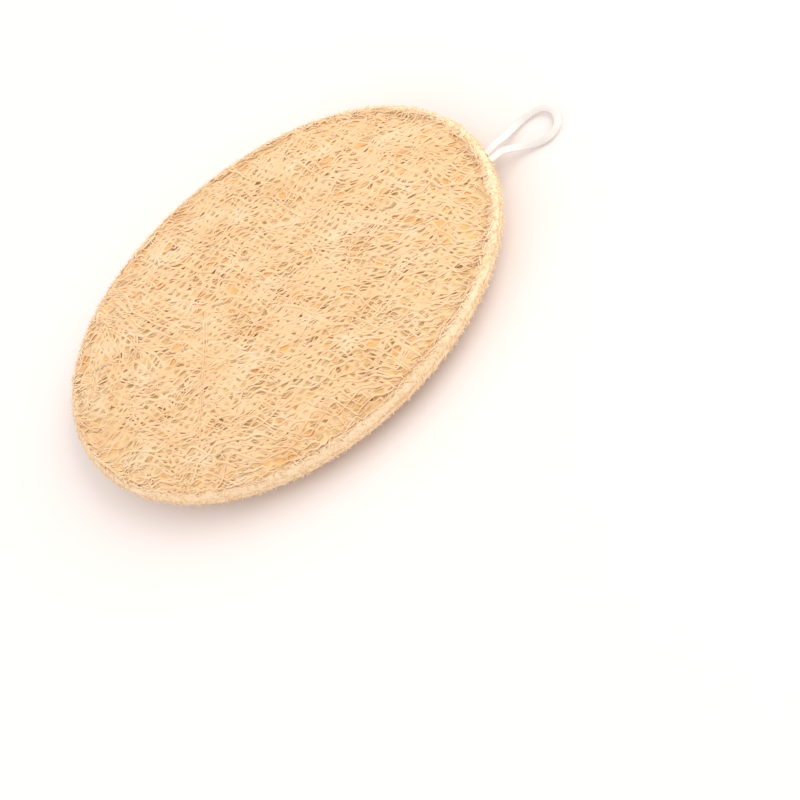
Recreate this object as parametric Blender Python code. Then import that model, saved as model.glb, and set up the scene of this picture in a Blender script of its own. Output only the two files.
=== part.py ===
"""A natural loofah sponge pad: two pressed panels of loofah, sewn together round their rim, and a hanging loop.

The pad lies flat: its long axis is X, its blunt end with the loop is at +X, and it rests on z = 0.
"""

import math
import random

import bmesh
import bpy
from mathutils import Vector

# Driving sizes, in metres
PAD_LENGTH = 0.150
PAD_WIDTH = 0.108
PAD_THICKNESS = 0.016
PANEL_GAP = 0.0003  # between the two panels, at the middle plane
SEAM_INSET = 0.0042  # from the outline to the seam's groove
GROOVE_HEIGHT = 0.0021  # the groove's floor above the middle plane
PIT_DEPTH = 0.0015
THREAD_RADIUS = 0.0003
THREAD_LIFT = 0.0008  # the thread's centre above the groove's floor
TAPE_WIDTH = 0.0022

# How the outline departs from an ellipse: shares of its radius, by the turns they take round the rim
EGG_SHARE = 0.0069
SQUARE_SHARE = -0.0036
BLUNT_SHARE = -0.0030

# The net: cells lie along the loofah's fibres, which cross the pad aslant
FIBRE_TURN = math.radians(-18.0)
NET_COLUMNS = 24
NET_ROWS = 18
CELL_ZIGZAG = 0.17  # how far each cell's ends are drawn to a point, in rows
CELL_JITTER = 0.24  # how far a corner of the net may stray, in cells
STRAND_SHARE = 0.80  # a pit's mouth beside its cell, which leaves the strands' flat backs
PIT_SHARE = 0.58  # a pit's floor beside its cell

# The rim's section from the groove outwards: distance in from the outline, height above the middle plane
RIM_SECTION = ((0.0031, 0.0030), (0.0014, 0.0032), (0.0003, 0.0021), (0.0, PANEL_GAP / 2))
RIM_RAGGED = 0.0005
SMOOTH_TIP = 0.14  # radians each way from the tip where the rim is kept even for the loop

# The underside is pressed flat where the pad rests, and one plain face lies in its middle
REST_PRESS = 1.10
REST_CELL_RADIUS = 0.014

MIDDLE = PAD_THICKNESS / 2
HALF_LENGTH = PAD_LENGTH / 2
HALF_WIDTH = PAD_WIDTH / 2

# The loop's own route: out of the rim, down to the surface, round and back
LOOP_EXIT_Y = 0.0014
LOOP_CLEARANCE = 0.0003
LOOP_LYING = TAPE_WIDTH / 2 + 0.0001
LOOP_ROUTE = (
    (HALF_LENGTH + LOOP_CLEARANCE, LOOP_EXIT_Y, MIDDLE),
    (0.0785, 0.0027, 0.0074),
    (0.0818, 0.0052, 0.0045),
    (0.0862, 0.0082, 0.0016),
    (0.0911, 0.0091, LOOP_LYING),
    (0.0954, 0.0081, LOOP_LYING),
    (0.0978, 0.0045, LOOP_LYING),
    (0.0967, 0.0003, LOOP_LYING),
    (0.0928, -0.0017, LOOP_LYING),
    (0.0884, -0.0010, 0.0013),
    (0.0840, 0.0002, 0.0028),
    (0.0798, -0.0002, 0.0065),
    (HALF_LENGTH + LOOP_CLEARANCE, -LOOP_EXIT_Y, MIDDLE),
)
LOOP_STEP = 2.0 * TAPE_WIDTH

for old in list(bpy.data.objects):
    bpy.data.objects.remove(old, do_unlink=True)

parts = bpy.data.collections.new("natural_loofah_sponge")
bpy.context.scene.collection.children.link(parts)


def plain_material(name, colour, roughness):
    """A Principled material of one colour."""
    material = bpy.data.materials.new(name)
    material.use_nodes = True
    shader = material.node_tree.nodes["Principled BSDF"]
    shader.inputs["Base Color"].default_value = (*colour, 1.0)
    shader.inputs["Roughness"].default_value = roughness
    shader.inputs["Metallic"].default_value = 0.0
    material.diffuse_color = (*colour, 1.0)
    return material


def outline(turn, inset=0.0):
    """A point of the pad's outline in plan, moved in from it by the inset."""
    swell = 1.0 + EGG_SHARE * math.sin(3 * turn)
    swell += SQUARE_SHARE * math.sin(4 * turn) + BLUNT_SHARE * (math.cos(4 * turn) - 1.0)
    x = HALF_LENGTH * math.cos(turn)
    y = HALF_WIDTH * math.sin(turn)
    recentre = HALF_WIDTH * EGG_SHARE  # the egg's lean, taken back so that the pad's box stays centred
    outward = Vector((math.cos(turn) / HALF_LENGTH, math.sin(turn) / HALF_WIDTH)).normalized()
    return Vector((x * swell, y * swell + recentre)) - outward * inset


def dome_height(share):
    """The panel's height above the middle plane at this share of the way from centre to groove."""
    rise = (1.0 - min(share, 1.0) ** 3.0) ** 0.62
    return GROOVE_HEIGHT + (MIDDLE - GROOVE_HEIGHT) * rise


def unevenness(x, y, phase):
    """The slow swells of a pressed natural fibre, in metres."""
    slow = math.sin(58 * x + 31 * y + phase) + math.sin(-41 * x + 77 * y + 2.1 * phase)
    quick = math.sin(150 * x + 96 * y + 1.3 * phase)
    return 0.00016 * slow + 0.00012 * quick


def brick_net():
    """A square grid from -1 to 1 whose cells are joined in pairs, row by row, like bricks."""
    net = bmesh.new()
    bmesh.ops.create_grid(net, x_segments=NET_COLUMNS, y_segments=NET_ROWS, size=1.0)
    joined = []
    for edge in net.edges:
        first, second = edge.verts
        if edge.is_boundary or abs(first.co.x - second.co.x) > 0.001:
            continue
        column = round((first.co.x + 1.0) / 2.0 * NET_COLUMNS)
        row = math.floor(((first.co.y + second.co.y) / 2.0 + 1.0) / 2.0 * NET_ROWS)
        if (column + row) % 2 == 0:
            joined.append(edge)
    bmesh.ops.dissolve_edges(net, edges=joined, use_verts=False, use_face_split=False)
    return net


def bend_to_pad(net, turn_layer, share_layer, rng):
    """Draws the bricks to pointed cells with strayed corners, then bends the square to the pad's oval."""
    column_step = 2.0 / NET_COLUMNS
    row_step = 2.0 / NET_ROWS
    for vert in net.verts:
        u, v = vert.co.x, vert.co.y
        column = round((u + 1.0) / column_step)
        row = round((v + 1.0) / row_step)
        if 0 < row < NET_ROWS and 0 < column < NET_COLUMNS:
            side = 1.0 if (column + row) % 2 else -1.0
            v += side * CELL_ZIGZAG * row_step
            u += rng.uniform(-CELL_JITTER, CELL_JITTER) * column_step
            v += rng.uniform(-CELL_JITTER, CELL_JITTER) * row_step
            v += 0.35 * row_step * math.sin(3.1 * u + 2.0 * v)
        disc_x = u * math.sqrt(1.0 - v * v / 2.0)
        disc_y = v * math.sqrt(1.0 - u * u / 2.0)
        share = min(1.0, math.hypot(disc_x, disc_y))
        turn = math.atan2(disc_y, disc_x) + FIBRE_TURN
        place = outline(turn, SEAM_INSET) * share
        vert.co = (place.x, place.y, 0.0)
        vert[turn_layer] = turn
        vert[share_layer] = share


def raise_surface(net, share_layer, phase, pressed):
    """Lifts the flat net to the panel's dome. A pressed panel is flat where it rests."""
    for vert in net.verts:
        share = vert[share_layer]
        height = dome_height(share)
        if pressed:
            height = min(MIDDLE, GROOVE_HEIGHT + (height - GROOVE_HEIGHT) * REST_PRESS)
            vert.co.z = height
        else:
            vert.co.z = min(MIDDLE, height + unevenness(vert.co.x, vert.co.y, phase) * (1.0 - share))


def sink_pits(net, rng, pressed):
    """Sinks the middle of each cell, which leaves the raised net of fibres between the pits."""
    cells = list(net.faces)
    if pressed:
        resting = [cell for cell in cells if cell.calc_center_median().xy.length <= REST_CELL_RADIUS]
        cells = [cell for cell in cells if cell.calc_center_median().xy.length > REST_CELL_RADIUS]
        bmesh.ops.dissolve_faces(net, faces=resting)
    mouths = bmesh.ops.extrude_discrete_faces(net, faces=cells)["faces"]
    for mouth in mouths:
        centre = mouth.calc_center_median()
        for vert in mouth.verts:
            vert.co = centre + (vert.co - centre) * STRAND_SHARE
    floors = bmesh.ops.extrude_discrete_faces(net, faces=mouths)["faces"]
    for floor in floors:
        centre = floor.calc_center_median()
        size = PIT_SHARE / STRAND_SHARE * rng.uniform(0.85, 1.1)
        depth = PIT_DEPTH * rng.uniform(0.6, 1.05)
        rim_share = min(1.0, max(0.0, (centre.z - GROOVE_HEIGHT) / (3.0 * PIT_DEPTH)))
        depth *= 0.45 + 0.55 * rim_share
        for vert in floor.verts:
            level = centre.z + (vert.co.z - centre.z) * 0.5
            vert.co = centre + (vert.co - centre) * size
            vert.co.z = level - depth


def turn_rim(net, turn_layer, rng):
    """Carries the net's edge outwards over the groove and round the turned rim to the middle plane."""
    edge_loop = [edge for edge in net.edges if edge.is_boundary]
    for inset, height in RIM_SECTION:
        made = bmesh.ops.extrude_edge_only(net, edges=edge_loop)["geom"]
        edge_loop = [item for item in made if isinstance(item, bmesh.types.BMEdge)]
        for vert in (item for item in made if isinstance(item, bmesh.types.BMVert)):
            turn = vert[turn_layer]
            from_tip = abs(math.remainder(turn, 2.0 * math.pi))
            ragged = rng.uniform(-0.3, 1.0) * RIM_RAGGED if from_tip > SMOOTH_TIP else 0.0
            share = 1.0 if height < GROOVE_HEIGHT + THREAD_RADIUS else 0.25
            place = outline(turn, inset + ragged * share)
            vert.co = (place.x, place.y, height)
    bmesh.ops.holes_fill(net, edges=edge_loop, sides=0)


def loofah_panel(name, seed, colour, lower):
    """One panel of the pad: raised net, seam groove and turned rim above a flat inner face."""
    rng = random.Random(seed)
    net = brick_net()
    turn_layer = net.verts.layers.float.new("turn")
    share_layer = net.verts.layers.float.new("share")
    bend_to_pad(net, turn_layer, share_layer, rng)
    raise_surface(net, share_layer, float(seed), lower)
    sink_pits(net, rng, lower)
    turn_rim(net, turn_layer, rng)
    side = -1.0 if lower else 1.0
    for vert in net.verts:
        vert.co.z = MIDDLE + side * vert.co.z
    bmesh.ops.recalc_face_normals(net, faces=net.faces)
    if net.calc_volume(signed=True) < 0.0:
        bmesh.ops.reverse_faces(net, faces=net.faces)
    mesh = bpy.data.meshes.new(name)
    net.to_mesh(mesh)
    net.free()
    mesh.shade_smooth()
    mesh.set_sharp_from_angle(angle=math.radians(38))
    mesh.materials.append(plain_material(name + "_fibre", colour, 0.85))
    panel = bpy.data.objects.new(name, mesh)
    parts.objects.link(panel)
    return panel


def round_tube(name, points, radius, resolution, material, closed):
    """A tube along straight steps between the points."""
    curve = bpy.data.curves.new(name, "CURVE")
    curve.dimensions = "3D"
    curve.bevel_depth = radius
    curve.bevel_resolution = resolution
    curve.use_fill_caps = not closed
    spline = curve.splines.new("POLY")
    spline.points.add(len(points) - 1)
    for knot, place in zip(spline.points, points):
        knot.co = (*place, 1.0)
    spline.use_cyclic_u = closed
    spline.use_smooth = True
    curve.materials.append(material)
    tube = bpy.data.objects.new(name, curve)
    parts.objects.link(tube)
    return tube


def seam_thread(name, side):
    """The cotton thread that lies in one panel's groove, all round the pad."""
    stitches = 104
    height = MIDDLE + side * (GROOVE_HEIGHT + THREAD_LIFT)
    route = []
    for step in range(stitches):
        place = outline(2.0 * math.pi * step / stitches, SEAM_INSET)
        route.append((place.x, place.y, height))
    material = plain_material(name + "_cotton", (0.90, 0.84, 0.74), 0.8)
    return round_tube(name, route, THREAD_RADIUS, 0, material, True)


def smooth_route(knots, spacing):
    """Points at an even spacing along a smooth curve through the knots."""
    ends = [2 * Vector(knots[0]) - Vector(knots[1])]
    ends += [Vector(knot) for knot in knots]
    ends.append(2 * Vector(knots[-1]) - Vector(knots[-2]))
    fine = []
    samples = 24
    for before, start, stop, after in zip(ends, ends[1:], ends[2:], ends[3:]):
        for sample in range(samples):
            t = sample / samples
            along = 2 * start + (stop - before) * t
            along += (2 * before - 5 * start + 4 * stop - after) * t * t
            along += (3 * start - before - 3 * stop + after) * t * t * t
            fine.append(along / 2)
    fine.append(ends[-2])
    lengths = [0.0]
    for start, stop in zip(fine, fine[1:]):
        lengths.append(lengths[-1] + (stop - start).length)
    count = round(lengths[-1] / spacing)
    route = []
    index = 0
    for step in range(count + 1):
        target = lengths[-1] * step / count
        while index < len(fine) - 2 and lengths[index + 1] < target:
            index += 1
        part = (target - lengths[index]) / max(lengths[index + 1] - lengths[index], 1e-9)
        route.append(fine[index].lerp(fine[index + 1], min(part, 1.0)))
    return route


loofah_panel("loofah_front", 11, (0.91, 0.64, 0.35), lower=False)
loofah_panel("loofah_back", 23, (0.86, 0.60, 0.33), lower=True)
seam_thread("seam_thread_front", 1.0)
seam_thread("seam_thread_back", -1.0)
cotton = plain_material("hanging_loop_cotton", (0.93, 0.88, 0.82), 0.75)
round_tube("hanging_loop", smooth_route(LOOP_ROUTE, LOOP_STEP), TAPE_WIDTH / 2, 2, cotton, False)
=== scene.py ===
"""The looks of a natural loofah sponge pad: two sewn panels of fibre net, a seam and a cotton hanging loop.

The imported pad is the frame. Each operator makes one piece, or one group of like pieces, over it.
"""

import math
import random
from typing import NamedTuple

import bmesh
import bpy
from mathutils import Matrix, Vector, noise


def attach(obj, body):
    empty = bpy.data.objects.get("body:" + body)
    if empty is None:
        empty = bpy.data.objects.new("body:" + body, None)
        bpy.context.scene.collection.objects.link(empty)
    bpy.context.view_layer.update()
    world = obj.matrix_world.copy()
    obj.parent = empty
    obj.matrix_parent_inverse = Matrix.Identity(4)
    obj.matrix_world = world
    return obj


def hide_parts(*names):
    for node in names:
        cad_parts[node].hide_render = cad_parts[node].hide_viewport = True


bl_info = {
    "name": "Natural Loofah Pad",
    "version": (1, 0, 0),
    "blender": (4, 5, 0),
    "location": "3D View > Sidebar > Loofah",
    "description": "Dresses a sewn loofah bath pad with its fibre net, turned rim, seam and hanging loop",
    "category": "Object",
}

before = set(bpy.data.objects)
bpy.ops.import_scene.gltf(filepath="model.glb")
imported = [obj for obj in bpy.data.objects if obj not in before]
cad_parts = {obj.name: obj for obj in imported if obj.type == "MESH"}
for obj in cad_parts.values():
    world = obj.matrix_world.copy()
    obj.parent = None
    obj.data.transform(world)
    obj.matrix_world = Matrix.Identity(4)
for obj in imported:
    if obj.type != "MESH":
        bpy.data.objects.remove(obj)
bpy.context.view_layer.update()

# The pad's form, as the solids have it, in metres
HALF_LENGTH = 0.075
HALF_WIDTH = 0.054
MIDDLE = 0.008
SEAM_INSET = 0.0042
GROOVE_HEIGHT = 0.0021
EGG_SHARE = 0.0069
SQUARE_SHARE = -0.0036
BLUNT_SHARE = -0.0030
REST_PRESS = 1.10
THREAD_LIFT = 0.0005

# The section of a fibre felted into the net, in radii: flat below, rounded above
FLAT_SECTION = ((-1.0, -0.12), (-0.55, 0.34), (0.55, 0.34), (1.0, -0.12))

# The net's fibres cross the pad aslant, and its plan reaches this far along and across them
FIBRE_TURN = math.radians(-18.0)
NET_HALF_LENGTH = 0.080
NET_HALF_WIDTH = 0.070

# The bends of the net's flow: reach, push, draw, and whether they are for the blossom end, where it frays
BENDS = (
    (0.030, 0.0044, 0.0, False),
    (0.0080, 0.0017, 9.0, False),
    (0.012, 0.0056, 17.0, True),
)
FRAY_START = 0.028
FRAY_LENGTH = 0.035

# The net bridges the groove and lies over the rim
BRIDGE_REACH = 0.0015
BRIDGE_RISE = 0.0008
RIM_COVER = 0.00020
CLUMP_REACH = 0.008
CLUMP_RISE = 0.00020

# The widest pores of the front: place in plan and half width
WIDE_PORES = (
    (-0.0095, 0.0094, 0.0014),
    (0.0602, -0.0222, 0.0013),
    (0.0260, -0.0406, 0.0012),
    (0.0174, 0.0036, 0.0015),
    (0.0040, 0.0060, 0.0013),
    (-0.0110, 0.0233, 0.0014),
)

# How much longer than wide the pores are, the half widths of the others, and how far fibres sag over them
OPENING_STRETCH = 1.5
OPENING_WIDTHS = (0.0007, 0.0015)
PORE_SAG = 0.00026

# The web's pits: how wide their mouths are as a share of the cell, and how deep they are
PIT_MOUTHS = (0.24, 0.92)
PIT_DEPTHS = (0.00014, 0.00042)
MOUTH_LIP = 0.00004

# The web ends this far outside the groove; what lies past the lap is drawn in to the hem, and the end is sunk
WEB_REACH = 0.0026
WEB_LAP = 0.0036
WEB_HEM = 0.0008
HEM_SINK = 0.0006

# How far outside the groove a net's fibres end, and how much the knots of a fibre are eased
FIBRE_ENDS = (0.0016, 0.0036)
EASING = 0.32

# The short fibres felted over the rim, and the cut ends that stand out of it: lengths and radii
FELT_LENGTHS = (0.0014, 0.0034)
FELT_RADII = (0.00012, 0.00024)
FUZZ_LENGTHS = (0.0004, 0.0009)
FUZZ_RADII = (0.00012, 0.00026)
RIM_RINGS = 18

# The length and width of the net's open bands
LACE_LENGTH = 0.013
LACE_WIDTH = 0.0050

# Two ribs of the fruit cross the front's net: end, end
RIBS = (
    ((-0.0200, 0.0085), (-0.0382, -0.0292)),
    ((-0.0429, 0.0187), (-0.0486, 0.0063)),
)

# The rim's section from the groove outwards: distance in from the outline, height above the middle plane
RIM_SECTION = (
    (0.0042, 0.0021),
    (0.0037, 0.0024),
    (0.0031, 0.0029),
    (0.0023, 0.0032),
    (0.0015, 0.0031),
    (0.0008, 0.0027),
    (0.0003, 0.0020),
    (0.0000, 0.0012),
    (-0.0001, 0.0006),
    (0.0003, 0.0000),
)
RIM_SECTION_LENGTH = 0.0069

# The hanging loop's own route: out of the rim, down to the surface, round and back
TAPE_WIDTH = 0.0022
TAPE_THICKNESS = 0.0006
TAPE_STEPS = 60
LOOP_LEAN = math.radians(28.0)
LOOP_ROUTE = (
    (0.0753, 0.0014, 0.0080),
    (0.0785, 0.0027, 0.0074),
    (0.0818, 0.0052, 0.0045),
    (0.0862, 0.0082, 0.0016),
    (0.0911, 0.0091, 0.0012),
    (0.0954, 0.0081, 0.0012),
    (0.0978, 0.0045, 0.0012),
    (0.0967, 0.0003, 0.0012),
    (0.0928, -0.0017, 0.0012),
    (0.0884, -0.0010, 0.0013),
    (0.0840, 0.0002, 0.0028),
    (0.0798, -0.0002, 0.0065),
    (0.0753, -0.0014, 0.0080),
)

# The seam's stitches
STITCHES = 132
STITCH_STEPS = 5
THREAD_RADIUS = 0.00026

# The stage's lamps: place, size, share of the key light's power, colour
LAMPS = (
    ("key", (1.50, 0.20, 1.05), 1.70, 1.0, (1.0, 0.99, 0.97)),
    ("side", (-0.80, -0.10, 0.45), 0.60, 0.05, (1.0, 0.98, 0.97)),
)
SKY_COLOUR = (1.0, 0.985, 0.99, 1.0)
FLOOR_GAP = 0.0002
FLOOR_HALF = 4.0

# The fibre's other colours: the rim's felt, a painted highlight, painted shade and a painted glow
# A pale colour: the rim's felt takes it for its streaks, and every fibre material lays it in patches as a
# painted highlight
PALE_AND_HIGHLIGHT_COLOUR = (0.93, 0.725, 0.50)
FELT_COLOUR = (0.94, 0.71, 0.47)
# Painted shade: the colour that darkens the pits towards their floors and the dents in the rim's felt
PIT_SHADE_COLOUR = (0.71, 0.485, 0.205)
# Painted glow: orange light through the fibres in open and wide pores, and painted shade in a band along the
# groove
PAINTED_GLOW_COLOUR = (0.86, 0.455, 0.155)

# The photograph's view of the pad
VIEW_TURN = math.radians(-20.91)
VIEW_HEIGHT = math.radians(50.81)
VIEW_ROLL = math.radians(-52.20)
VIEW_DISTANCE = 0.600
FRAME_PIXELS = 800
PIXELS_PER_METRE = 3365.5
PAD_CENTRE_PIXEL = (280.9, 305.1)
SENSOR_MM = 36.0


class Net(NamedTuple):
    """One of a panel's nets of flat fibres: the size of its cells and how its fibres lie in them."""

    piece: str
    seed: int
    # A cell's length and a row's width, as shares of the settings', and how far the rows zigzag
    along: float
    across: float
    zigzag: float
    # The fibres' radius, as a share of the settings'
    thick: float
    # How far they lie under the surface, how much farther where the net is felted, and how uneven they lie
    sink: float
    felted: float
    spread: float
    # How often a fibre changes over to the next row, and the points that it has to each cell
    change: float
    parts: int
    # Which of the panel's colours it has, and whether the wide pores push it apart
    colours: str
    parted: bool


FRONT_NETS = (
    Net("front_fine_net", 72, 0.46, 0.60, 0.40, 0.42, 0.00015, 0.00010, 0.00005, 0.25, 2, "deep", False),
    Net("front_middle_net", 73, 0.54, 0.76, 0.36, 0.62, 0.00011, 0.00006, 0.00004, 0.30, 2, "top", True),
    Net("front_top_net", 74, 1.04, 1.25, 0.36, 0.92, 0.00005, 0.00008, 0.00005, 0.35, 5, "top", True),
)
BACK_NETS = (
    Net("back_fine_net", 81, 0.54, 0.76, 0.34, 0.64, 0.00011, 0.00006, 0.00004, 0.25, 2, "deep", True),
    Net("back_top_net", 84, 1.04, 1.25, 0.42, 1.00, 0.00006, 0.00008, 0.00005, 0.35, 4, "top", True),
)


class Loose(NamedTuple):
    """A lot of loose fibres over a panel: their lengths, radii, lifts, spread of headings and seed."""

    lengths: tuple
    radii: tuple
    lifts: tuple
    spread: float
    seed: int


FRONT_SHORT = Loose((0.003, 0.009), (0.00018, 0.00030), (-0.00014, 0.0), 0.70, 41)
FRONT_LONG = Loose((0.012, 0.036), (0.00030, 0.00046), (-0.00010, 0.0), 0.30, 43)
BACK_LOOSE = Loose((0.005, 0.024), (0.00012, 0.00024), (-0.0001, 0.0002), 0.4, 42)
FRONT_LONG_COUNT = 40
BACK_LOOSE_COUNT = 300
RIB_SEED = 44
RIB_RADIUS = 0.00024


class PanelKind(NamedTuple):
    """One of the two panels: 1 is the upper side and -1 the lower."""

    name: str
    number: int
    side: float
    flow: float
    opening_seed: int
    # The web under the nets: seed, cell length, row width, zigzag and sink
    web: tuple
    nets: tuple
    rim_steps: int
    felt_count: int


FRONT = PanelKind("front", 1, 1.0, 5.0, 5, (73, 0.54, 0.76, 0.36, 0.00009), FRONT_NETS, 1100, 2300)
BACK = PanelKind("back", 2, -1.0, 17.0, 17, (81, 0.54, 0.76, 0.34, 0.00012), BACK_NETS, 900, 1300)


def outline(turn, inset=0.0):
    """A point of the pad's outline in plan, moved in from it by the inset."""
    swell = 1.0 + EGG_SHARE * math.sin(3 * turn)
    swell += SQUARE_SHARE * math.sin(4 * turn) + BLUNT_SHARE * (math.cos(4 * turn) - 1.0)
    x = HALF_LENGTH * math.cos(turn)
    y = HALF_WIDTH * math.sin(turn)
    outward = Vector((math.cos(turn) / HALF_LENGTH, math.sin(turn) / HALF_WIDTH)).normalized()
    return Vector((x * swell, y * swell + HALF_WIDTH * EGG_SHARE)) - outward * inset


def plan_turn(x, y):
    """The turn round the rim at which a point in plan lies."""
    return math.atan2(y / (HALF_WIDTH - SEAM_INSET), x / (HALF_LENGTH - SEAM_INSET))


def plan_margin(x, y):
    """How far a point in plan lies outside the seam's groove, less than nothing where it lies inside."""
    return math.hypot(x, y) - outline(plan_turn(x, y), SEAM_INSET).length


def plan_share(x, y):
    """How far a point in plan lies from the centre, as a share of the way to the seam's groove."""
    return math.hypot(x, y) / outline(plan_turn(x, y), SEAM_INSET).length


def rim_height(inset):
    """The rim's height above the middle plane at this distance in from the outline."""
    for (outer, low), (inner, high) in zip(RIM_SECTION, RIM_SECTION[1:]):
        if inner <= inset <= outer:
            return low + (high - low) * (outer - inset) / (outer - inner)
    return GROOVE_HEIGHT


def panel_height(x, y, side):
    """A panel's height above the middle plane. The lower panel, side -1, is flat where it rests."""
    groove = outline(plan_turn(x, y), SEAM_INSET).length
    reach = math.hypot(x, y)
    if reach > groove:
        return rim_height(SEAM_INSET - 0.94 * (reach - groove))
    share = reach / groove
    height = GROOVE_HEIGHT + (MIDDLE - GROOVE_HEIGHT) * (1.0 - share**3.0) ** 0.62
    if side < 0:
        return min(MIDDLE, GROOVE_HEIGHT + (height - GROOVE_HEIGHT) * REST_PRESS)
    slow = math.sin(58 * x + 31 * y + 11.0) + math.sin(-41 * x + 77 * y + 23.1)
    quick = math.sin(150 * x + 96 * y + 14.3)
    return min(MIDDLE, height + (0.00016 * slow + 0.00012 * quick) * (1.0 - share))


def clamp(value):
    """The value kept from 0 to 1."""
    return min(max(value, 0.0), 1.0)


def over_panel(x, y, lift, side, clear=0.0):
    """A point of the net, which bridges the groove where the panel is sewn and runs on over the rim.

    On the lower panel it stays clear of the surface below.
    """
    margin = plan_margin(x, y)
    away = margin / BRIDGE_REACH
    clump = noise.noise(Vector((x / CLUMP_REACH, y / CLUMP_REACH, 6.0)))
    over_rim = RIM_COVER * clamp(margin / 0.001)
    rise = BRIDGE_RISE * math.exp(-away * away) + CLUMP_RISE * clump + over_rim
    height = panel_height(x, y, side) + (lift + rise)
    if side < 0:
        height = min(height, MIDDLE - clear)
    return Vector((x, y, MIDDLE + side * height))


def rim_point(turn, share, lift, side):
    """A point over the turned rim: share 0 is the groove and 1 the middle plane."""
    place = clamp(share) * (len(RIM_SECTION) - 1)
    step = min(int(place), len(RIM_SECTION) - 2)
    part = place - step
    inset_a, height_a = RIM_SECTION[step]
    inset_b, height_b = RIM_SECTION[step + 1]
    along = Vector((inset_b - inset_a, height_b - height_a)).normalized()
    inset = inset_a + (inset_b - inset_a) * part + along.y * lift * -1.0
    height = height_a + (height_b - height_a) * part - along.x * lift
    plan = outline(turn, inset)
    return Vector((plan.x, plan.y, MIDDLE + side * height))


def along_fibres(p, q):
    """A point in plan from its distances along and across the fibres."""
    cosine, sine = math.cos(FIBRE_TURN), math.sin(FIBRE_TURN)
    return Vector((p * cosine - q * sine, p * sine + q * cosine))


def from_plan(place):
    """The distances along and across the fibres of a point in plan."""
    return Matrix.Rotation(-FIBRE_TURN, 2) @ place


def wander(p, q, seed):
    """A smooth push in plan, from -1 to 1 each way, the same on each run."""
    across = noise.noise(Vector((p + 31.4, q - 17.2, seed + 3.7)))
    return Vector((noise.noise(Vector((p, q, seed))), across))


def drift(p, q, flow):
    """Where the net's flow carries a point: long bends, short ones, and a swirl at the blossom end."""
    x, y = p, q
    for reach, push, draw, at_end in BENDS:
        pushed = wander(p / reach, q / reach, flow + draw) * (push * (fraying(p) if at_end else 1.0))
        x += pushed.x
        y += pushed.y
    return Vector((x, y))


def fraying(p):
    """How far the net frays towards the blossom end, from the distance along the fibres."""
    return clamp((-p - FRAY_START) / FRAY_LENGTH)


def lace(x, y, flow):
    """How open the net is at a point in plan: 0 where its fibres are felted together, 1 where it is lace."""
    laid = from_plan(Vector((x, y)))
    frayed = fraying(laid.x)
    place = Vector((laid.x / (LACE_LENGTH * (1.0 - 0.55 * frayed)), laid.y / LACE_WIDTH, flow + 31.0))
    return clamp(0.55 + 0.25 * frayed + 1.2 * noise.noise(place))


def into_opening(away, width):
    """How far off a wide pore's middle a point lies along and across it, 1 at its edge."""
    return math.hypot(away.x / OPENING_STRETCH, away.y) / width


def draw_openings(count, seed, known=()):
    """The wide pores of a panel: place in plan and half width, the known ones first."""
    rng = random.Random(seed)
    openings = [(Vector((x, y)), width) for x, y, width in known]
    for _ in range(count):
        place = outline(rng.uniform(0.0, 2.0 * math.pi), SEAM_INSET) * (math.sqrt(rng.random()) * 0.95)
        openings.append((place, rng.uniform(*OPENING_WIDTHS)))
    return openings


class NetPlan:
    """The plan of one net: rows of pointed cells that the flow bends and the wide pores push apart."""

    def __init__(self, flow, seed, column_step, row_step, zigzag, openings):
        self.flow = flow
        self.seed = seed
        self.column_step = column_step
        self.row_step = row_step
        self.zigzag = zigzag
        self.columns = 2 * math.ceil(NET_HALF_LENGTH / column_step)
        self.rows = 2 * math.ceil(NET_HALF_WIDTH / row_step)
        self.openings = [(from_plan(place), width) for place, width in openings]
        self.places = {}

    def stray(self, column, row):
        """Three seeded numbers from 0 to 1 for one corner of the net."""
        return noise.cell_vector(Vector((column + 0.5, row + 0.5, self.seed + 0.5)))

    def place(self, column, row):
        """The plan place of one corner of the net."""
        key = (column, row)
        if key not in self.places:
            stray = self.stray(column, row)
            side = 1.0 if (column + row) % 2 else -1.0
            p = (column - self.columns / 2 + 0.90 * (stray.x - 0.5)) * self.column_step
            sway = self.zigzag * side * (0.55 + 0.9 * stray.z) + 0.50 * (stray.y - 0.5)
            q = (row - self.rows / 2 + sway) * self.row_step
            spot = drift(p, q, self.flow)
            for centre, width in self.openings:
                away = spot - centre
                far = into_opening(away, width)
                if far < 1.15:
                    spot = centre + away * ((far + 0.85 * (1.15 - far)) / max(far, 0.05))
            self.places[key] = along_fibres(spot.x, spot.y)
        return self.places[key]


class Value:
    """A shader value that Python's own signs work on. Each sum adds its Math node."""

    def __init__(self, recipe, output):
        self.recipe = recipe
        self.output = output

    def _sum(self, operation, first, second):
        return self.recipe.node("ShaderNodeMath", {"operation": operation}, {0: first, 1: second})["Value"]

    def __add__(self, other):
        return self._sum("ADD", self, other)

    def __radd__(self, other):
        return self._sum("ADD", other, self)

    def __sub__(self, other):
        return self._sum("SUBTRACT", self, other)

    def __rsub__(self, other):
        return self._sum("SUBTRACT", other, self)

    def __mul__(self, other):
        return self._sum("MULTIPLY", self, other)

    def __rmul__(self, other):
        return self._sum("MULTIPLY", other, self)


class Outputs:
    """A made node, whose sockets are read by name."""

    def __init__(self, recipe, node):
        self.recipe = recipe
        self.node = node

    def __getitem__(self, key):
        return Value(self.recipe, self.node.outputs[key])


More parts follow.
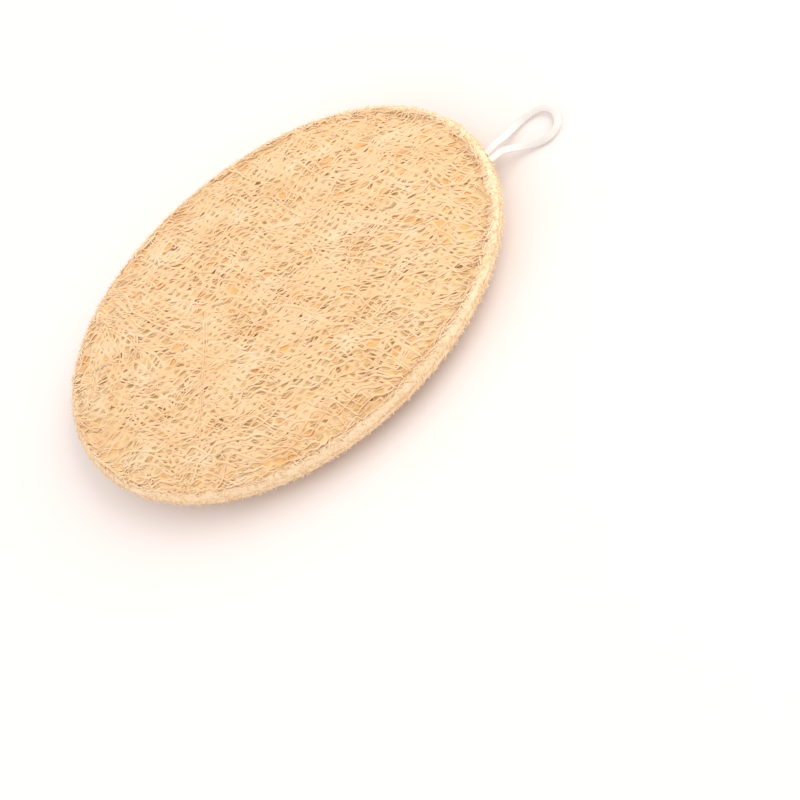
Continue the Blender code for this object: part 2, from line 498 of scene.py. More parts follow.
class Recipe:
    """A node material while it is put together."""

    def __init__(self, name):
        self.material = bpy.data.materials.new(name)
        self.material.use_nodes = True
        self.tree = self.material.node_tree
        self.tree.nodes.clear()

    def node(self, kind, settings=None, inputs=None):
        """Adds a node: its settings first, and then the values or links of its sockets."""
        made = self.tree.nodes.new(kind)
        for key, value in (settings or {}).items():
            setattr(made, key, value)
        for key, value in (inputs or {}).items():
            if isinstance(value, Value):
                self.tree.links.new(value.output, made.inputs[key])
            else:
                made.inputs[key].default_value = value
        return Outputs(self, made)

    def mix(self, factor, first, second):
        """A colour between two colours."""
        made = self.tree.nodes.new("ShaderNodeMix")
        made.data_type = "RGBA"
        for index, value in ((0, factor), (6, first), (7, second)):
            if isinstance(value, Value):
                self.tree.links.new(value.output, made.inputs[index])
            elif isinstance(value, tuple):
                made.inputs[index].default_value = (*value, 1.0)
            else:
                made.inputs[index].default_value = value
        return Value(self, made.outputs[2])

    def place(self, turn=0.0, stretch=(1.0, 1.0, 1.0)):
        """Object coordinates, turned about Z and then stretched."""
        settings = {"vector_type": "POINT"}
        inputs = {"Vector": self.node("ShaderNodeTexCoord")["Object"], "Rotation": (0.0, 0.0, turn)}
        turned = self.node("ShaderNodeMapping", settings, inputs)["Vector"]
        return self.node("ShaderNodeMapping", settings, {"Vector": turned, "Scale": stretch})["Vector"]

    def noise(self, vector, scale, detail=3.0, roughness=0.55, distortion=0.0):
        """Noise from 0 to 1 at this many swells a metre."""
        inputs = {"Vector": vector, "Scale": scale, "Detail": detail}
        inputs.update({"Roughness": roughness, "Distortion": distortion})
        return self.node("ShaderNodeTexNoise", None, inputs)["Fac"]

    def steps(self, value, low, high):
        """0 below low, 1 above high and smooth between."""
        settings = {"interpolation_type": "SMOOTHSTEP", "clamp": True}
        inputs = {"Value": value, "From Min": low, "From Max": high}
        return self.node("ShaderNodeMapRange", settings, inputs)["Result"]

    def bump(self, height, strength, distance):
        """A normal from heights."""
        inputs = {"Height": height, "Strength": strength, "Distance": distance}
        return self.node("ShaderNodeBump", None, inputs)["Normal"]

    def attribute(self, name):
        """A number that the mesh carries."""
        return self.node("ShaderNodeAttribute", {"attribute_name": name})["Fac"]

    def finish(self, inputs):
        """Joins a Principled shader with these inputs to the surface and hands over the material."""
        shader = self.node("ShaderNodeBsdfPrincipled", None, inputs)["BSDF"]
        self.node("ShaderNodeOutputMaterial", None, {"Surface": shader})
        return self.material


def fibre_material(name, base, pale, tan):
    """Dry loofah fibre: faint streaks along the fibres, tan patches, pale patches as a painted highlight,
    painted shade in the pits and a painted glow in the wide pores.
    """
    recipe = Recipe(name)
    streaks = recipe.noise(recipe.place(-FIBRE_TURN, (0.20, 1.0, 0.6)), 620.0, 3.0, 0.55, 0.4)
    patches = recipe.noise(recipe.place(-FIBRE_TURN, (0.45, 1.0, 1.0)), 130.0, 4.0, 0.58)
    fine = recipe.noise(recipe.place(-FIBRE_TURN, (0.22, 1.0, 1.0)), 2400.0, 3.0, 0.6)
    colour = recipe.mix(0.5 * recipe.steps(streaks, 0.36, 0.66), base, pale)
    colour = recipe.mix(0.65 * recipe.steps(patches, 0.51, 0.68), colour, tan)
    # Painted highlight: pale patches where the patch noise is low
    colour = recipe.mix(0.45 * (1.0 - recipe.steps(patches, 0.32, 0.47)), colour, PALE_AND_HIGHLIGHT_COLOUR)
    # Painted shade, down the pits and in the rim's dents
    colour = recipe.mix(recipe.attribute("pore"), colour, PIT_SHADE_COLOUR)
    # Painted glow of light through the fibres
    colour = recipe.mix(recipe.attribute("glow"), colour, PAINTED_GLOW_COLOUR)
    return recipe.finish(
        {
            "Base Color": colour,
            "Roughness": 0.64 + 0.2 * streaks,
            "Specular IOR Level": 0.25,
            "Sheen Weight": 0.08,
            "Sheen Roughness": 0.5,
            "Normal": recipe.bump(streaks + 0.5 * fine, 0.16, 0.0003),
        }
    )


def cotton_material(name, base, shading, rows_per_metre):
    """Cotton yarn or tape: a fine twisted weave in two near whites, soft and matt."""
    recipe = Recipe(name)
    shade = tuple(channel * shading for channel in base)
    place = recipe.place(math.radians(38.0))
    inputs = {"Vector": place, "Scale": rows_per_metre, "Distortion": 1.2, "Detail": 2.0}
    settings = {"wave_type": "BANDS", "bands_direction": "X"}
    twill = recipe.node("ShaderNodeTexWave", settings, inputs)["Fac"]
    lint = recipe.noise(recipe.place(), 2600.0, 4.0, 0.65)
    return recipe.finish(
        {
            "Base Color": recipe.mix(0.55 * twill + 0.35 * lint, shade, base),
            "Roughness": 0.70 + 0.2 * lint,
            "Specular IOR Level": 0.2,
            "Sheen Weight": 0.2,
            "Normal": recipe.bump(twill + 0.8 * lint, 0.35, 0.0002),
        }
    )


def floor_material(name, colour):
    """A plain pale matt surface."""
    recipe = Recipe(name)
    grain = recipe.noise(recipe.place(), 40.0, 2.0)
    paler = tuple(min(1.0, channel * 1.01) for channel in colour)
    base = recipe.mix(grain, colour, paler)
    return recipe.finish({"Base Color": base, "Roughness": 0.9, "Specular IOR Level": 0.1})


def link(name, data):
    """Adds an object to the scene."""
    made = bpy.data.objects.new(name, data)
    bpy.context.scene.collection.objects.link(made)
    return made


def new_piece(name, mesh, materials, nodes):
    """Adds a finished mesh as a piece of the pad, riding on its body in place of the nodes."""
    for material in materials:
        mesh.materials.append(material)
    mesh.shade_smooth()
    piece = link(name, mesh)
    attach(piece, "root")
    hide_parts(*nodes)
    return piece


def drop(holder):
    """Takes a curve's object and its data away."""
    data = holder.data
    bpy.data.objects.remove(holder, do_unlink=True)
    bpy.data.curves.remove(data)


def curve_mesh(curve):
    """The mesh that a curve evaluates to. The curve itself goes."""
    holder = link(curve.name, curve)
    bpy.context.view_layer.update()
    seen = holder.evaluated_get(bpy.context.evaluated_depsgraph_get())
    mesh = bpy.data.meshes.new_from_object(seen)
    mesh.materials.clear()
    drop(holder)
    return mesh


def section_curve(name, section, unit):
    """A closed curve that fibres take as their section."""
    curve = bpy.data.curves.new(name, "CURVE")
    curve.dimensions = "2D"
    ring = curve.splines.new("POLY")
    ring.points.add(len(section) - 1)
    for knot, (across, up) in zip(ring.points, section):
        knot.co = (unit * across, unit * up, 0.0, 1.0)
    ring.use_cyclic_u = True
    return link(name, curve)


def tubes_mesh(name, strands, section=None):
    """One mesh of many fine fibres. A strand is its points, its radius at each and its material's number."""
    unit = 0.001  # the radius that the curve has where a point's own radius is 1
    curve = bpy.data.curves.new(name, "CURVE")
    curve.dimensions = "3D"
    curve.use_fill_caps = True
    ring = section_curve(name + "_section", section, unit) if section else None
    if ring:
        curve.bevel_mode = "OBJECT"
        curve.bevel_object = ring
        curve.twist_mode = "Z_UP"
    else:
        curve.bevel_depth = unit
        curve.bevel_resolution = 0
    for places, radii, shade in strands:
        spline = curve.splines.new("POLY")
        spline.points.add(len(places) - 1)
        flat = []
        for place in places:
            flat.extend((place.x, place.y, place.z, 1.0))
        spline.points.foreach_set("co", flat)
        spline.points.foreach_set("radius", [radius / unit for radius in radii])
        spline.use_smooth = True
        spline.material_index = shade
    for _ in range(3):
        curve.materials.append(None)
    mesh = curve_mesh(curve)
    if ring:
        drop(ring)
    return mesh


def flat_section(side):
    """The felted fibre's section with its rounded back outwards, for the upper or the lower panel."""
    if side > 0:
        return FLAT_SECTION
    return tuple((across, -up) for across, up in reversed(FLAT_SECTION))


def net_cells(plan):
    """The web's pointed cells in plan: a grid that the plan bends, with every other upright taken out."""
    net = bmesh.new()
    bmesh.ops.create_grid(net, x_segments=plan.columns, y_segments=plan.rows, size=1.0)
    joined = []
    index = {}
    for vert in net.verts:
        column = round((vert.co.x + 1.0) / 2.0 * plan.columns)
        row = round((vert.co.y + 1.0) / 2.0 * plan.rows)
        index[vert] = (column, row)
    for edge in net.edges:
        (column, row), (other, top) = index[edge.verts[0]], index[edge.verts[1]]
        if column == other and 0 < column < plan.columns and (column + min(row, top)) % 2 == 0:
            joined.append(edge)
    for vert, (column, row) in index.items():
        place = plan.place(column, row)
        vert.co = (place.x, place.y, 0.0)
    bmesh.ops.dissolve_edges(net, edges=joined, use_verts=False, use_face_split=False)
    outside = []
    for face in net.faces:
        centre = face.calc_center_median()
        if plan_margin(centre.x, centre.y) > WEB_REACH:
            outside.append(face)
    bmesh.ops.delete(net, geom=outside, context="FACES")
    return net


def net_skin(plan, side, sink, openings):
    """A panel's inner web, sunk under its fibres: pointed cells, each a rim of fibre round a pit, with
    painted shade deeper in the pit and a painted glow in the open ones.
    """
    net = net_cells(plan)
    pit_shade_layer = net.verts.layers.float.new("pore")
    painted_glow_layer = net.verts.layers.float.new("glow")
    for vert in net.verts:
        x, y = vert.co.x, vert.co.y
        margin = plan_margin(x, y)
        if margin > WEB_LAP:
            x, y = outline(plan_turn(x, y), WEB_HEM)
        buried = HEM_SINK if vert.is_boundary else 0.0
        vert.co = over_panel(x, y, -sink - buried, side)
        vert[pit_shade_layer] = 0.0
    rng = random.Random(plan.seed + 1)
    mouths = bmesh.ops.extrude_discrete_faces(net, faces=list(net.faces))["faces"]
    pits = []
    for mouth in mouths:
        centre = mouth.calc_center_median()
        laid = from_plan(centre.xy)
        openness = clamp(rng.random() ** 0.7 * (0.40 + 1.00 * lace(centre.x, centre.y, plan.flow)))
        # The share of painted glow: some open pits at random, the wide pores, and a band along the groove as
        # painted shade
        glow_share = rng.uniform(0.2, 0.8) if rng.random() < 0.18 * openness else 0.0
        for place, width in openings:
            far = into_opening(laid - from_plan(place), width)
            if far < 1.1:
                glow_share = max(glow_share, 1.0 - 0.35 * far * far)
        share = plan_share(centre.x, centre.y)
        if 0.92 < share < 1.0 and rng.random() < 0.35:
            glow_share = max(glow_share, 0.6)
        openness = max(openness, glow_share)
        size = PIT_MOUTHS[0] + (PIT_MOUTHS[1] - PIT_MOUTHS[0]) * openness
        deep = 2.0 if rng.random() < 0.20 else 1.0
        depth = rng.uniform(*PIT_DEPTHS) * deep * (1.0 - 0.35 * glow_share)
        depth *= max(0.3, 1.0 - 0.9 * max(0.0, share - 0.90) / 0.10)
        for vert in mouth.verts:
            vert.co = centre + (vert.co - centre) * size
            vert.co.z -= side * MOUTH_LIP
            # Painted shade, slight at a pit's mouth
            vert[pit_shade_layer] = 0.15
            vert[painted_glow_layer] = 0.6 * glow_share
        pits.append((mouth, depth, openness, glow_share, deep))
    floors = bmesh.ops.extrude_discrete_faces(net, faces=[pit[0] for pit in pits])["faces"]
    for floor, (_, depth, openness, glow_share, deep) in zip(floors, pits):
        centre = floor.calc_center_median()
        for vert in floor.verts:
            vert.co = centre + (vert.co - centre) * 0.70
            vert.co.z -= side * depth
            # Painted shade at a pit's floor, stronger in the deeper pits
            vert[pit_shade_layer] = (0.55 + 0.25 * openness) * (1.25 if deep > 1.0 else 1.0)
            vert[painted_glow_layer] = glow_share
    if side < 0:
        bmesh.ops.reverse_faces(net, faces=net.faces)
    mesh = bpy.data.meshes.new("net")
    net.to_mesh(mesh)
    net.free()
    return mesh


def between(knots, parts):
    """Points on one smooth curve through the knots, this many to each stretch."""
    ends = [2 * knots[0] - knots[1], *knots, 2 * knots[-1] - knots[-2]]
    points = []
    for before, start, stop, after in zip(ends, ends[1:], ends[2:], ends[3:]):
        for part in range(parts):
            t = part / parts
            along = 2 * start + (stop - before) * t
            along += (2 * before - 5 * start + 4 * stop - after) * (t * t)
            along += (3 * start - before - 3 * stop + after) * (t * t * t)
            points.append(along / 2)
    points.append(knots[-1].copy())
    return points


def eased(knots, share):
    """The knots with each but the two ends drawn by this share towards its neighbours."""
    drawn = [knots[0]]
    for before, knot, after in zip(knots, knots[1:], knots[2:]):
        drawn.append(knot * (1.0 - share) + (before + after) * (share / 2.0))
    drawn.append(knots[-1])
    return drawn


def laid_strand(knots, parts, radius, shade, side):
    """A strand over a panel from knots of plan place, lift and weight, thin at its two ends."""
    fine = between(eased(knots, EASING), parts)
    places = [over_panel(x, y, lift, side, radius * 0.45) for x, y, lift, _ in fine]
    radii = []
    for step, (_, _, _, weight) in enumerate(fine):
        waist = math.sin(math.pi * (step % parts) / parts) ** 2
        radii.append(radius * max(weight, 0.3) * (1.0 - 0.22 * waist))
    radii[0] *= 0.35
    radii[-1] *= 0.35
    return places, radii, shade


def pore_sink(x, y, openings):
    """How far a fine fibre lies down where it crosses a wide pore."""
    deepest = 0.0
    for place, width in openings:
        far = into_opening(from_plan(Vector((x, y)) - place), width)
        deepest = max(deepest, PORE_SAG * (1.0 - far * far))
    return deepest


def draw_run(rng):
    """A new fibre's weight, its colour's number and how far over the rim it ends."""
    return rng.uniform(0.75, 1.25), rng.choice((0, 0, 1, 2)), rng.uniform(*FIBRE_ENDS)


def net_fibres(plan, net, side, radius, crossed):
    """The net's own fibres. Each follows a row, and where two rows meet the fibres may change over."""
    rng = random.Random(net.seed + 100)
    strands = []
    for first_row in range(1, plan.rows):
        row = first_row
        run = []
        weight, shade, limit = draw_run(rng)
        for column in range(plan.columns + 1):
            place = plan.place(column, row)
            margin = plan_margin(place.x, place.y)
            ends_here = margin >= limit or rng.random() < 0.025
            if margin < limit:
                stray = plan.stray(column, row)
                shut = 1.0 - lace(place.x, place.y, plan.flow)
                under = net.sink + net.felted * (shut + 1.5 * fraying(from_plan(place).x))
                under *= clamp(-margin / 0.005)
                under += pore_sink(place.x, place.y, crossed)
                lift = (2.0 * stray.z - 1.0) * net.spread - under
                spread_out = weight * (0.65 + 0.7 * stray.x) * (1.0 + 0.5 * shut)
                run.append(Vector((place.x, place.y, lift, spread_out)))
            if ends_here or column == plan.columns:
                if len(run) > 2:
                    strands.append(laid_strand(run, net.parts, radius * net.thick, shade, side))
                run = []
                weight, shade, limit = draw_run(rng)
            partner = row + 1 if (column + row) % 2 else row - 1
            lower = min(row, partner)
            if noise.cell(Vector((column + 0.5, lower + 0.5, plan.seed + 40.5))) < 2.0 * net.change - 1.0:
                row = partner
    return strands


def loose_fibres(flow, count, side, kind):
    """Fibres that wander over a panel with the net's flow, crossing its rows."""
    rng = random.Random(kind.seed)
    strands = []
    while len(strands) < count:
        start = outline(rng.uniform(0.0, 2.0 * math.pi), SEAM_INSET) * (math.sqrt(rng.random()) * 0.98)
        spot = from_plan(start)
        length = rng.uniform(*kind.lengths)
        steps = max(4, int(length / 0.0015))
        heading = rng.gauss(0.0, kind.spread + 0.8 * fraying(spot.x))
        bend = rng.gauss(0.0, 22.0)
        phase = rng.uniform(0.0, 50.0)
        radius = rng.uniform(*kind.radii)
        lift = rng.uniform(*kind.lifts)
        limit = rng.uniform(0.0, 0.0032)
        knots = []
        for step in range(steps + 1):
            part = step / steps
            carried = drift(spot.x, spot.y, flow)
            place = along_fibres(carried.x, carried.y)
            if plan_margin(place.x, place.y) > limit:
                break
            wave = noise.noise(Vector((phase + step * 0.45, 4.0, 0.0)))
            dive = 0.00035 * abs(2.0 * part - 1.0) ** 4
            dive += 0.00009 * (1.0 - lace(place.x, place.y, flow))
            weight = 0.45 + 0.55 * math.sin(math.pi * min(max(part, 0.05), 0.95)) ** 0.5
            knots.append(Vector((place.x, place.y, lift + 0.00015 * wave - dive, weight)))
            heading += bend * length / steps + 0.42 * wave
            spot = spot + Vector((math.cos(heading), math.sin(heading))) * (length / steps)
        if len(knots) > 3:
            strands.append(laid_strand(knots, 1, radius, rng.choice((0, 0, 1, 1, 2)), side))
    return strands


def rib_fibres(side, seed):
    """The ribs: a few thick fibres side by side from end to end."""
    rng = random.Random(seed)
    strands = []
    for start, stop in RIBS:
        first, last = Vector(start), Vector(stop)
        across = (last - first).normalized().orthogonal()
        steps = max(4, int((last - first).length / 0.004))
        for offset in (-0.0005, 0.0, 0.0005):
            knots = []
            for step in range(steps + 1):
                part = step / steps
                sway = 0.0006 * math.sin(5.0 * part) + rng.gauss(0.0, 0.00018) + offset * (1.4 - part)
                place = first.lerp(last, part) + across * sway
                knots.append(Vector((place.x, place.y, rng.uniform(-0.00005, 0.00010), 1.0 - 0.35 * part)))
            strands.append(laid_strand(knots, 3, RIB_RADIUS, 1, side))
    return strands


def rim_fibres(count, side, seed):
    """Short fibres felted over the turned rim: along it by the groove, and across it towards the edge."""
    rng = random.Random(seed)
    strands = []
    for _ in range(count):
        turn = rng.uniform(0.0, 2.0 * math.pi)
        share = rng.uniform(0.34, 0.88)
        outer = clamp((share - 0.42) / 0.12)
        slant = rng.gauss(0.35 + 1.1 * outer, 0.75 - 0.25 * outer)
        length = rng.uniform(*FELT_LENGTHS) * (1.5 - 0.5 * outer)
        steps = 4
        radius = rng.uniform(*FELT_RADII)
        lift = rng.uniform(0.0, 0.00022)
        places = []
        radii = []
        for step in range(steps + 1):
            part = step / steps
            arch = lift + 0.00008 * math.sin(math.pi * part)
            places.append(rim_point(turn, share, arch, side))
            radii.append(radius * (0.45 + 0.55 * math.sin(math.pi * min(max(part, 0.10), 0.90))))
            ahead = length / steps
            turn += ahead * math.cos(slant) / 0.064
            share = min(share + ahead * math.sin(slant) / RIM_SECTION_LENGTH, 0.98)
            slant += rng.gauss(0.0, 0.25)
        strands.append((places, radii, rng.choice((0, 1, 1, 2))))
    return strands


def edge_fuzz(count, side, seed):
    """The ragged cut ends of fibres that stand out of the rim."""
    rng = random.Random(seed)
    strands = []
    for _ in range(count):
        turn = rng.uniform(0.0, 2.0 * math.pi)
        if abs(math.remainder(turn, 2.0 * math.pi)) < 0.035:
            continue
        share = rng.uniform(0.40, 1.0)
        root = rim_point(turn, share, -0.0003, side)
        outward = Vector((math.cos(turn) / HALF_LENGTH, math.sin(turn) / HALF_WIDTH)).normalized()
        around = Vector((-outward.y, outward.x)) * rng.gauss(0.0, 0.7)
        rise = side * rng.uniform(-0.2, 0.9) * (1.2 - share)
        aim = Vector((outward.x + around.x, outward.y + around.y, rise)).normalized()
        length = rng.uniform(*FUZZ_LENGTHS)
        bend = Vector((rng.gauss(0, 1), rng.gauss(0, 1), rng.gauss(0, 1))) * length * 0.15
        places = [root, root + aim * length * 0.55 + bend, root + aim * length]
        radius = rng.uniform(*FUZZ_RADII)
        strands.append((places, [radius, radius * 0.85, radius * 0.35], rng.choice((0, 1, 1))))
    return strands


def rim_roll_mesh(side, steps, seed):
    """The turned rim's felted body, from the groove to the middle plane, and the panel's plain inside."""
    roll = bmesh.new()
    bmesh.ops.create_circle(roll, segments=steps, radius=1.0, cap_ends=False)
    turn_layer = roll.verts.layers.float.new("turn")
    for vert in roll.verts:
        vert[turn_layer] = math.atan2(vert.co.y, vert.co.x)
    pit_shade_layer = roll.verts.layers.float.new("pore")
    edges = list(roll.edges)
    for vert in roll.verts:
        vert.co = rim_point(vert[turn_layer], 0.0, 0.0, side)
    for ring in range(1, RIM_RINGS + 1):
        made = bmesh.ops.extrude_edge_only(roll, edges=edges)["geom"]
        edges = [item for item in made if isinstance(item, bmesh.types.BMEdge)]
        share = ring / RIM_RINGS
        for vert in (item for item in made if isinstance(item, bmesh.types.BMVert)):
            turn = vert[turn_layer]
            felt = noise.noise(Vector((turn * 42.0, share * 5.0, seed)))
            felt += 0.8 * noise.noise(Vector((turn * 90.0, share * 9.0, seed + 3.0)))
            pore = noise.noise(Vector((turn * 58.0, share * 7.0, seed + 20.0)))
            pore = clamp((pore - 0.16) / 0.2)
            inner = clamp((0.55 - share) / 0.15)
            lift = 0.00022 * felt - 0.00010 - 0.00030 * pore - 0.00030 * inner
            vert.co = rim_point(turn, share, 0.0 if ring == RIM_RINGS else lift, side)
            # Painted shade where the felt dips into a dent
            vert[pit_shade_layer] = 0.7 * pore
    bmesh.ops.holes_fill(roll, edges=edges, sides=0)
    bmesh.ops.recalc_face_normals(roll, faces=roll.faces)
    probe = max(roll.faces, key=lambda face: face.calc_center_median().x)
    if probe.normal.x < 0.0:
        bmesh.ops.reverse_faces(roll, faces=roll.faces)
    mesh = bpy.data.meshes.new("rim_roll")
    roll.to_mesh(mesh)
    roll.free()
    return mesh


def smooth_route(knots, count):
    """Points at an even spacing along a smooth curve through the knots, and the curve's length."""
    fine = between([Vector(knot) for knot in knots], 24)
    lengths = [0.0]
    for start, stop in zip(fine, fine[1:]):
        lengths.append(lengths[-1] + (stop - start).length)
    route = []
    index = 0
    for step in range(count + 1):
        target = lengths[-1] * step / count
        while index < len(fine) - 2 and lengths[index + 1] < target:
            index += 1
        part = (target - lengths[index]) / max(lengths[index + 1] - lengths[index], 1e-9)
        route.append(fine[index].lerp(fine[index + 1], min(part, 1.0)))
    return route, lengths[-1]


def colour_setting(name, description, default):
    """A colour that a user would change."""
    return bpy.props.FloatVectorProperty(
        name=name, description=description, default=default, size=3, subtype="COLOR"
    )


def length_setting(name, description, default):
    """A length that a user would change."""
    return bpy.props.FloatProperty(name=name, description=description, default=default, unit="LENGTH")


def count_setting(name, description, default):
    """A number of like things that a user would change."""
    return bpy.props.IntProperty(name=name, description=description, default=default, min=0)


class LoofahSettings(bpy.types.PropertyGroup):
    """The sizes and colours that a user would change."""

    fibre_colour: colour_setting("Fibre", "Colour of the dry fibres", (0.852, 0.575, 0.322))
    pale_colour: colour_setting("Pale fibre", "Colour of worn fibre backs", (0.875, 0.615, 0.368))
    tan_colour: colour_setting("Tan fibre", "Colour of the darker fibres", (0.82, 0.505, 0.25))
    cotton_colour: colour_setting("Cotton", "Colour of the loop's tape", (0.88, 0.83, 0.78))
    floor_colour: colour_setting("Floor", "Colour of the surface under the pad", (0.90, 0.83, 0.795))
    cell_length: length_setting("Cell length", "Half the length of the net's cells", 0.0031)
    cell_width: length_setting("Cell width", "Distance between the net's rows", 0.0021)
    strand_radius: length_setting("Strand radius", "Radius of the thickest rows' fibres", 0.00040)
    openings: count_setting("Openings", "Wide pores on the front", 90)
    loose_count: count_setting("Loose fibres", "Short fibres over the front net", 460)
    fuzz_count: count_setting("Edge fuzz", "Fibre ends on the front panel's rim", 1500)
    light_power: bpy.props.FloatProperty(
        name="Key light", description="Power of the key light", default=22.0, unit="POWER"
    )
    sky_power: bpy.props.FloatProperty(
        name="Fill light", description="Strength of the surrounding light", default=0.92
    )


def fibre_set(settings):
    """The four fibre materials, made once: cream, pale, tan and the rim's felt."""
    names = ("loofah_cream", "loofah_pale", "loofah_tan", "loofah_felt")
    found = [bpy.data.materials.get(name) for name in names]
    if all(found):
        return found
    base, pale, tan = tuple(settings.fibre_colour), tuple(settings.pale_colour), tuple(settings.tan_colour)
    half_tan = tuple((a + b) / 2 for a, b in zip(base, tan))
    return [
        fibre_material(names[0], base, pale, tan),
        fibre_material(names[1], pale, pale, base),
        fibre_material(names[2], half_tan, base, tan),
        fibre_material(names[3], FELT_COLOUR, PALE_AND_HIGHLIGHT_COLOUR, pale),
    ]


def new_panel(settings, kind, openings, loose, fuzz_count):
    """A whole panel: its web, its nets one over another, its loose fibres and its turned rim."""
    cream, pale, tan, rim = fibre_set(settings)
    # The deep nets take cream where the top nets take pale: painted shade, darker for lying lower
    colours = {"top": [cream, pale, tan], "deep": [cream, cream, tan], "felt": [rim, rim, pale]}
    slot = "loofah_" + kind.name
    nodes = [slot]
    length, width = settings.cell_length, settings.cell_width
    section = flat_section(kind.side)

    seed, along, across, zigzag, sink = kind.web
    web = NetPlan(kind.flow, seed, along * length, across * width, zigzag, openings)
    skin = net_skin(web, kind.side, sink, openings)
    foam = new_piece(kind.name + "_web", skin, [cream], nodes)

    for net in kind.nets:
        apart, crossed = (openings, ()) if net.parted else ((), openings)
        plan = NetPlan(kind.flow, net.seed, net.along * length, net.across * width, net.zigzag, apart)
        strands = net_fibres(plan, net, kind.side, settings.strand_radius, crossed)
        new_piece(net.piece, tubes_mesh(net.piece, strands, section), colours[net.colours], nodes)

    name = kind.name + "_loose_fibres"
    new_piece(name, tubes_mesh(name, loose, section), colours["top"], nodes)
    roll = rim_roll_mesh(kind.side, kind.rim_steps, float(kind.number))
    new_piece(kind.name + "_rim_roll", roll, [rim], nodes)
    name = kind.name + "_rim_fibres"
    felted = rim_fibres(kind.felt_count, kind.side, 50 + kind.number)
    new_piece(name, tubes_mesh(name, felted), colours["felt"], nodes)
    name = kind.name + "_edge_fuzz"
    fuzz = edge_fuzz(fuzz_count, kind.side, 60 + kind.number)
    new_piece(name, tubes_mesh(name, fuzz), colours["felt"], nodes)


class LOOFAH_OT_hanging_loop(bpy.types.Operator):
    """Makes the flat cotton tape of the hanging loop"""

    bl_idname = "loofah.hanging_loop"
    bl_label = "Hanging Loop"

    def execute(self, context):
        route, length = smooth_route(LOOP_ROUTE, TAPE_STEPS)
        curve = bpy.data.curves.new("hanging_loop_tape", "CURVE")
        curve.dimensions = "3D"
        curve.twist_mode = "Z_UP"
        curve.extrude = (TAPE_WIDTH - TAPE_THICKNESS) / 2
        curve.bevel_depth = TAPE_THICKNESS / 2
        curve.bevel_resolution = 2
        curve.use_fill_caps = True
        spline = curve.splines.new("POLY")
        spline.points.add(len(route) - 1)
        for step, (knot, place) in enumerate(zip(spline.points, route)):
            part = step / TAPE_STEPS
            knot.co = (*place, 1.0)
            knot.tilt = math.radians(90.0) + LOOP_LEAN * math.sin(2.0 * math.pi * part)
        spline.use_smooth = True
        base = tuple(context.scene.loofah_pad.cotton_colour)
        cotton = cotton_material("loop_cotton_tape", base, shading=0.86, rows_per_metre=700.0)
        mesh = curve_mesh(curve)
        tape = new_piece("hanging_loop_tape", mesh, [cotton], ["hanging_loop"])
        return {"FINISHED"}


class LOOFAH_OT_front_panel(bpy.types.Operator):
    """Makes the front panel's nets, one over another, and its turned rim"""

    bl_idname = "loofah.front_panel"
    bl_label = "Front Panel"

    def execute(self, context):
        settings = context.scene.loofah_pad
        openings = draw_openings(settings.openings, FRONT.opening_seed, WIDE_PORES)
        loose = loose_fibres(FRONT.flow, settings.loose_count, FRONT.side, FRONT_SHORT)
        loose += loose_fibres(FRONT.flow, FRONT_LONG_COUNT, FRONT.side, FRONT_LONG)
        loose += rib_fibres(FRONT.side, RIB_SEED)
        new_panel(settings, FRONT, openings, loose, settings.fuzz_count)
        return {"FINISHED"}


class LOOFAH_OT_back_panel(bpy.types.Operator):
    """Makes the back panel's nets, pressed flat where they rest, and its turned rim"""

    bl_idname = "loofah.back_panel"
    bl_label = "Back Panel"

    def execute(self, context):
        settings = context.scene.loofah_pad
        openings = draw_openings(settings.openings // 2, BACK.opening_seed)
        loose = loose_fibres(BACK.flow, BACK_LOOSE_COUNT, BACK.side, BACK_LOOSE)
        new_panel(settings, BACK, openings, loose, settings.fuzz_count * 2 // 3)
        return {"FINISHED"}


class LOOFAH_OT_seam(bpy.types.Operator):
    """Makes the stitches that lie in the two grooves"""

    bl_idname = "loofah.seam"
    bl_label = "Seam Stitches"

    def execute(self, context):
        base = tuple(context.scene.loofah_pad.pale_colour)
        cotton = cotton_material("seam_cotton", base, shading=0.85, rows_per_metre=1500.0)
        for name, node, side in (
            ("front_stitches", "seam_thread_front", 1.0),
            ("back_stitches", "seam_thread_back", -1.0),
        ):
            strands = []
            for stitch in range(STITCHES):
                places = []
                radii = []
                for step in range(STITCH_STEPS + 1):
                    part = step / STITCH_STEPS
                    turn = 2.0 * math.pi * (stitch + 0.06 + 0.88 * part) / STITCHES
                    plan = outline(turn, SEAM_INSET)
                    arch = math.sin(math.pi * part)
                    lift = GROOVE_HEIGHT + THREAD_LIFT * (0.35 + 0.65 * arch)
                    places.append(Vector((plan.x, plan.y, MIDDLE + side * lift)))
                    radii.append(THREAD_RADIUS * (0.7 + 0.3 * arch))
                strands.append((places, radii, 0))
            new_piece(name, tubes_mesh(name, strands), [cotton], [node])
        return {"FINISHED"}


def lay_floor(colour):
    """The pale surface, just under the pad."""
    ground = bmesh.new()
    bmesh.ops.create_grid(ground, x_segments=1, y_segments=1, size=FLOOR_HALF)
    mesh = bpy.data.meshes.new("floor")
    ground.to_mesh(mesh)
    ground.free()
    mesh.materials.append(floor_material("floor_pale", colour))
    floor = link("floor", mesh)
    floor.location.z = -FLOOR_GAP


def light_pad(centre, power, sky_power):
    """Soft light from all round and the lamps, aimed at the pad."""
    world = bpy.data.worlds.new("studio")
    world.use_nodes = True
    shade = world.node_tree.nodes["Background"]
    shade.inputs["Color"].default_value = SKY_COLOUR
    shade.inputs["Strength"].default_value = sky_power
    bpy.context.scene.world = world
    for name, spot, size, share, colour in LAMPS:
        place = Vector(spot)
        lamp = bpy.data.lights.new(name, "AREA")
        lamp.shape = "SQUARE"
        lamp.size = size
        lamp.energy = power * share
        lamp.color = colour
        holder = link(name, lamp)
        holder.location = place
        holder.rotation_euler = (centre - place).to_track_quat("-Z", "Y").to_euler()


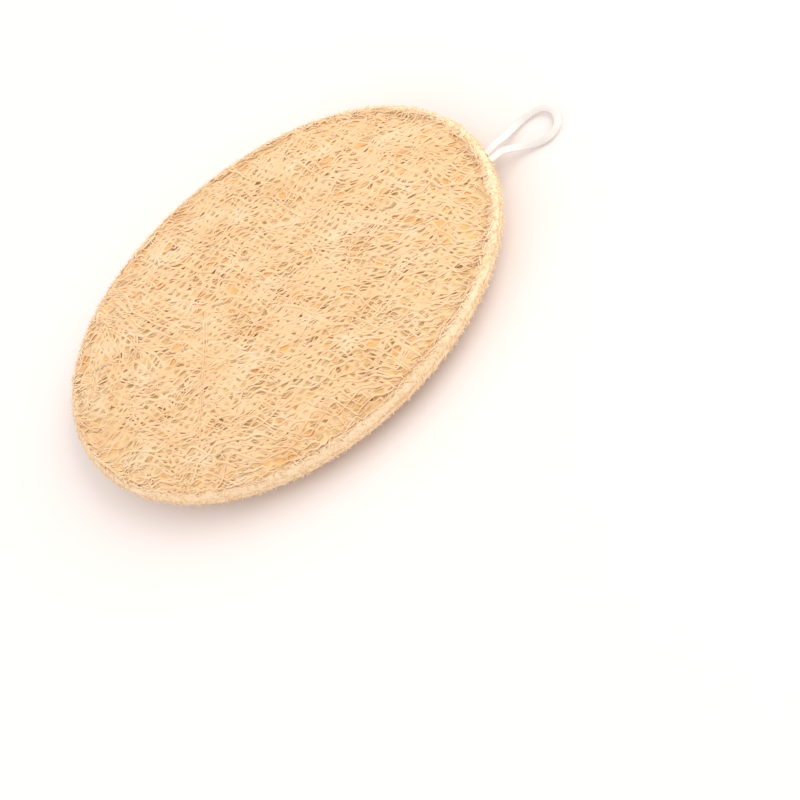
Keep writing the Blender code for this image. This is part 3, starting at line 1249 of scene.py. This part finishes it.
def aim_camera(centre):
    """The photograph's view: its turn, height and roll, with the pad's middle at its pixel there."""
    flat = math.cos(VIEW_HEIGHT)
    forward = Vector((math.sin(VIEW_TURN) * flat, math.cos(VIEW_TURN) * flat, -math.sin(VIEW_HEIGHT)))
    level = forward.cross(Vector((0.0, 0.0, 1.0))).normalized()
    upright = level.cross(forward)
    right = level * math.cos(VIEW_ROLL) + upright * math.sin(VIEW_ROLL)
    up = upright * math.cos(VIEW_ROLL) - level * math.sin(VIEW_ROLL)
    focal = PIXELS_PER_METRE * VIEW_DISTANCE
    aim_right = (FRAME_PIXELS / 2 - PAD_CENTRE_PIXEL[0]) / focal
    aim_down = (FRAME_PIXELS / 2 - PAD_CENTRE_PIXEL[1]) / focal
    aim = (forward + right * aim_right - up * aim_down).normalized()
    right = (right - aim * right.dot(aim)).normalized()
    up = right.cross(aim)
    camera = bpy.data.cameras.new("photograph_view")
    camera.lens = focal / FRAME_PIXELS * SENSOR_MM
    camera.sensor_width = SENSOR_MM
    camera.clip_start = 0.01
    camera.clip_end = 20.0
    viewer = link("photograph_view", camera)
    turn = Matrix((right, up, -aim)).transposed().to_4x4()
    viewer.matrix_world = Matrix.Translation(centre - forward * VIEW_DISTANCE) @ turn
    bpy.context.scene.camera = viewer


class LOOFAH_OT_stage(bpy.types.Operator):
    """Makes the pale surface, the soft light and the camera"""

    bl_idname = "loofah.stage"
    bl_label = "Stage"

    def execute(self, context):
        settings = context.scene.loofah_pad
        centre = Vector((0.0, 0.0, MIDDLE))
        lay_floor(tuple(settings.floor_colour))
        light_pad(centre, settings.light_power, settings.sky_power)
        aim_camera(centre)
        context.scene.view_settings.view_transform = "Standard"
        return {"FINISHED"}


class LOOFAH_PT_sidebar(bpy.types.Panel):
    """Lists the pad's sizes, colours and steps in the sidebar"""

    bl_idname = "LOOFAH_PT_sidebar"
    bl_label = "Loofah Pad"
    bl_space_type = "VIEW_3D"
    bl_region_type = "UI"
    bl_category = "Loofah"

    def draw(self, context):
        settings = context.scene.loofah_pad
        for name in LoofahSettings.__annotations__:
            self.layout.prop(settings, name)
        for step in STEPS:
            self.layout.operator(step.bl_idname)


STEPS = (
    LOOFAH_OT_stage,
    LOOFAH_OT_hanging_loop,
    LOOFAH_OT_front_panel,
    LOOFAH_OT_back_panel,
    LOOFAH_OT_seam,
)
CLASSES = (LoofahSettings, *STEPS, LOOFAH_PT_sidebar)


def register():
    """Registers the classes and hangs the settings on the scene."""
    for made in CLASSES:
        bpy.utils.register_class(made)
    bpy.types.Scene.loofah_pad = bpy.props.PointerProperty(type=LoofahSettings)


def unregister():
    """Takes the settings and the classes away again."""
    del bpy.types.Scene.loofah_pad
    for made in reversed(CLASSES):
        bpy.utils.unregister_class(made)


def main():
    """Makes the stage and every piece in order."""
    register()
    bpy.ops.loofah.stage()
    bpy.ops.loofah.hanging_loop()
    bpy.ops.loofah.front_panel()
    bpy.ops.loofah.back_panel()
    bpy.ops.loofah.seam()


if __name__ == "__main__":
    main()
